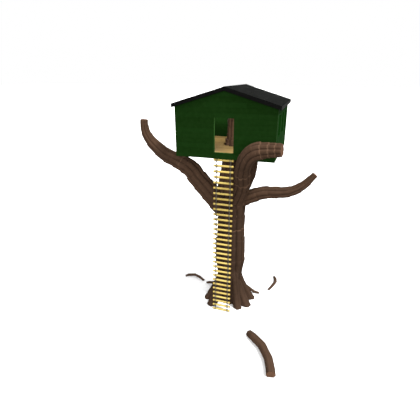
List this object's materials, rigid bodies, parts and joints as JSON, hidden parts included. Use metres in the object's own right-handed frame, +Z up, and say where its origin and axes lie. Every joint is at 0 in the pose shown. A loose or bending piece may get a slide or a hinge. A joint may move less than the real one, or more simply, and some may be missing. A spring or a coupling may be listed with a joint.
{
  "type": "tree house",
  "caption": "Gabled board hut with an open doorway and side windows, held high in a bare fluted tree and reached by a straight rope ladder.",
  "frame": {"origin": "on the ground, at the middle of the trunk's foot", "axes": "+Z up the trunk, -Y out of the doorway towards the ladder, +X to the right of someone who faces the door"},
  "size_m": [8.9317, 7.8693, 11.372],
  "materials": {
    "bark": "dry fluted bark, dull brown",
    "floor_timber": "bare tan boards, lightly worn",
    "frame_timber": "rough sawn timber",
    "painted_boards": "dark green paint on horizontal boards",
    "roof_felt": "dark grey mineral felt, dull",
    "dark_roof_boards": "near-black stained boards",
    "peeled_poles": "straw-yellow peeled poles, dull sheen",
    "rope": "grey laid rope"
  },
  "bodies": {
    "root": {"trunk": "bark", "stem": "bark", "left_limb": "bark", "front_limb": "bark", "rear_limb": "bark", "right_limb": "bark", "thin_root_left": "bark", "thin_root_right": "bark", "ground_root_front": "bark", "ground_root_left": "bark", "ground_root_right": "bark", "floor_boards": "floor_timber", "floor_joists": "frame_timber", "floor_bearers": "frame_timber", "door_sill": "painted_boards", "front_wall_left": "painted_boards", "front_wall_right": "painted_boards", "front_wall_head": "painted_boards", "back_wall": "painted_boards", "left_wall_sill": "painted_boards", "left_wall_posts": "painted_boards", "left_wall_head": "painted_boards", "right_wall_sill": "painted_boards", "right_wall_posts": "painted_boards", "right_wall_head": "painted_boards", "roof_slab_left": "dark_roof_boards", "roof_slab_right": "dark_roof_boards", "roof_cover_left": "roof_felt", "roof_cover_right": "roof_felt", "front_barge_left": "dark_roof_boards", "front_barge_right": "dark_roof_boards", "back_barge_left": "dark_roof_boards", "back_barge_right": "dark_roof_boards", "eaves_board_left": "dark_roof_boards", "eaves_board_right": "dark_roof_boards", "ladder_rungs": "peeled_poles", "ladder_rope_left": "rope", "ladder_rope_right": "rope"}
  },
  "joints": []
}
